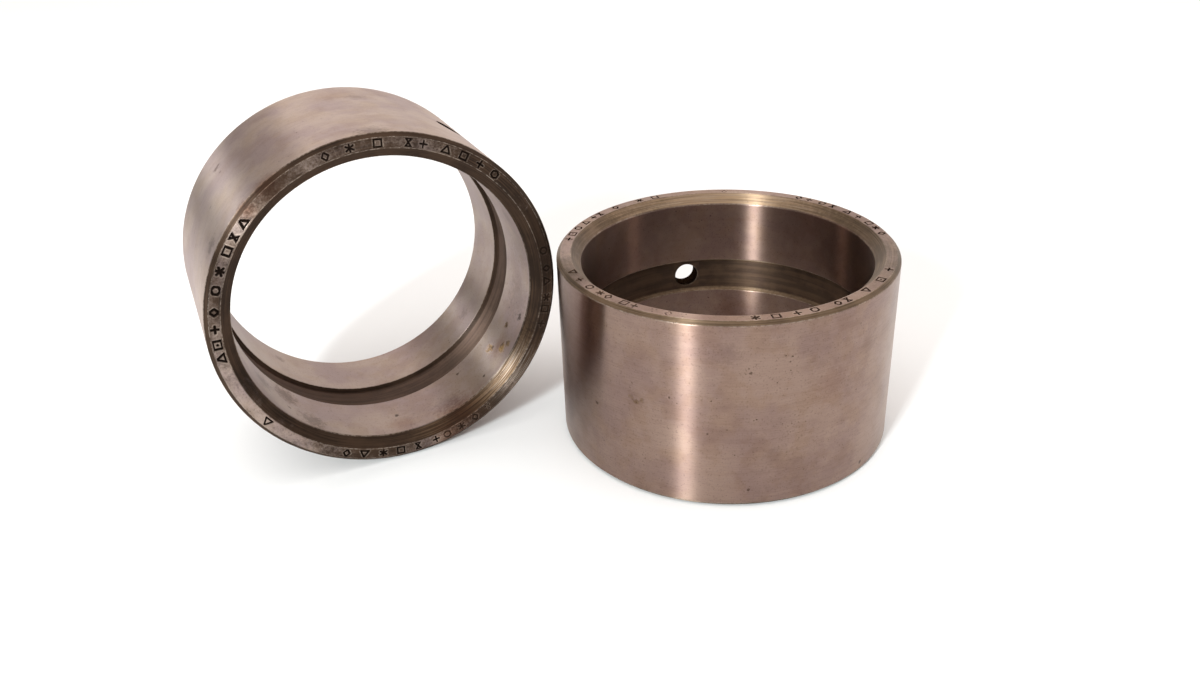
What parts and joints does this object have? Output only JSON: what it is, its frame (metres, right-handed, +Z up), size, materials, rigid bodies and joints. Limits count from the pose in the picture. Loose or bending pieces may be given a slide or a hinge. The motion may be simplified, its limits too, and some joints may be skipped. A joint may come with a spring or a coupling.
{
  "type": "needle roller bearing inner ring pair",
  "caption": "Loose bearing inner rings with a smooth needle track, chamfered bore, oil groove and radial oil hole, one flat and one on edge.",
  "frame": {"origin": "the middle of the flat ring's bore, half way along its width", "axes": "+Z up along the flat ring's bore, -X towards the middle of the ring on edge, -Y towards the front"},
  "size_m": [0.0957, 0.0444, 0.0444],
  "materials": {
    "bearing_steel": "ground bearing steel, lightly stained and scuffed"
  },
  "bodies": {
    "flat_ring": {"inner_ring_flat": "bearing_steel"},
    "edge_ring": {"inner_ring_on_edge": "bearing_steel"}
  },
  "joints": [
    {"name": "edge_ring_lift", "type": "slide", "parent": "flat_ring", "child": "edge_ring", "axis": [0, 0, 1], "range_m": [0, 0.06]}
  ]
}
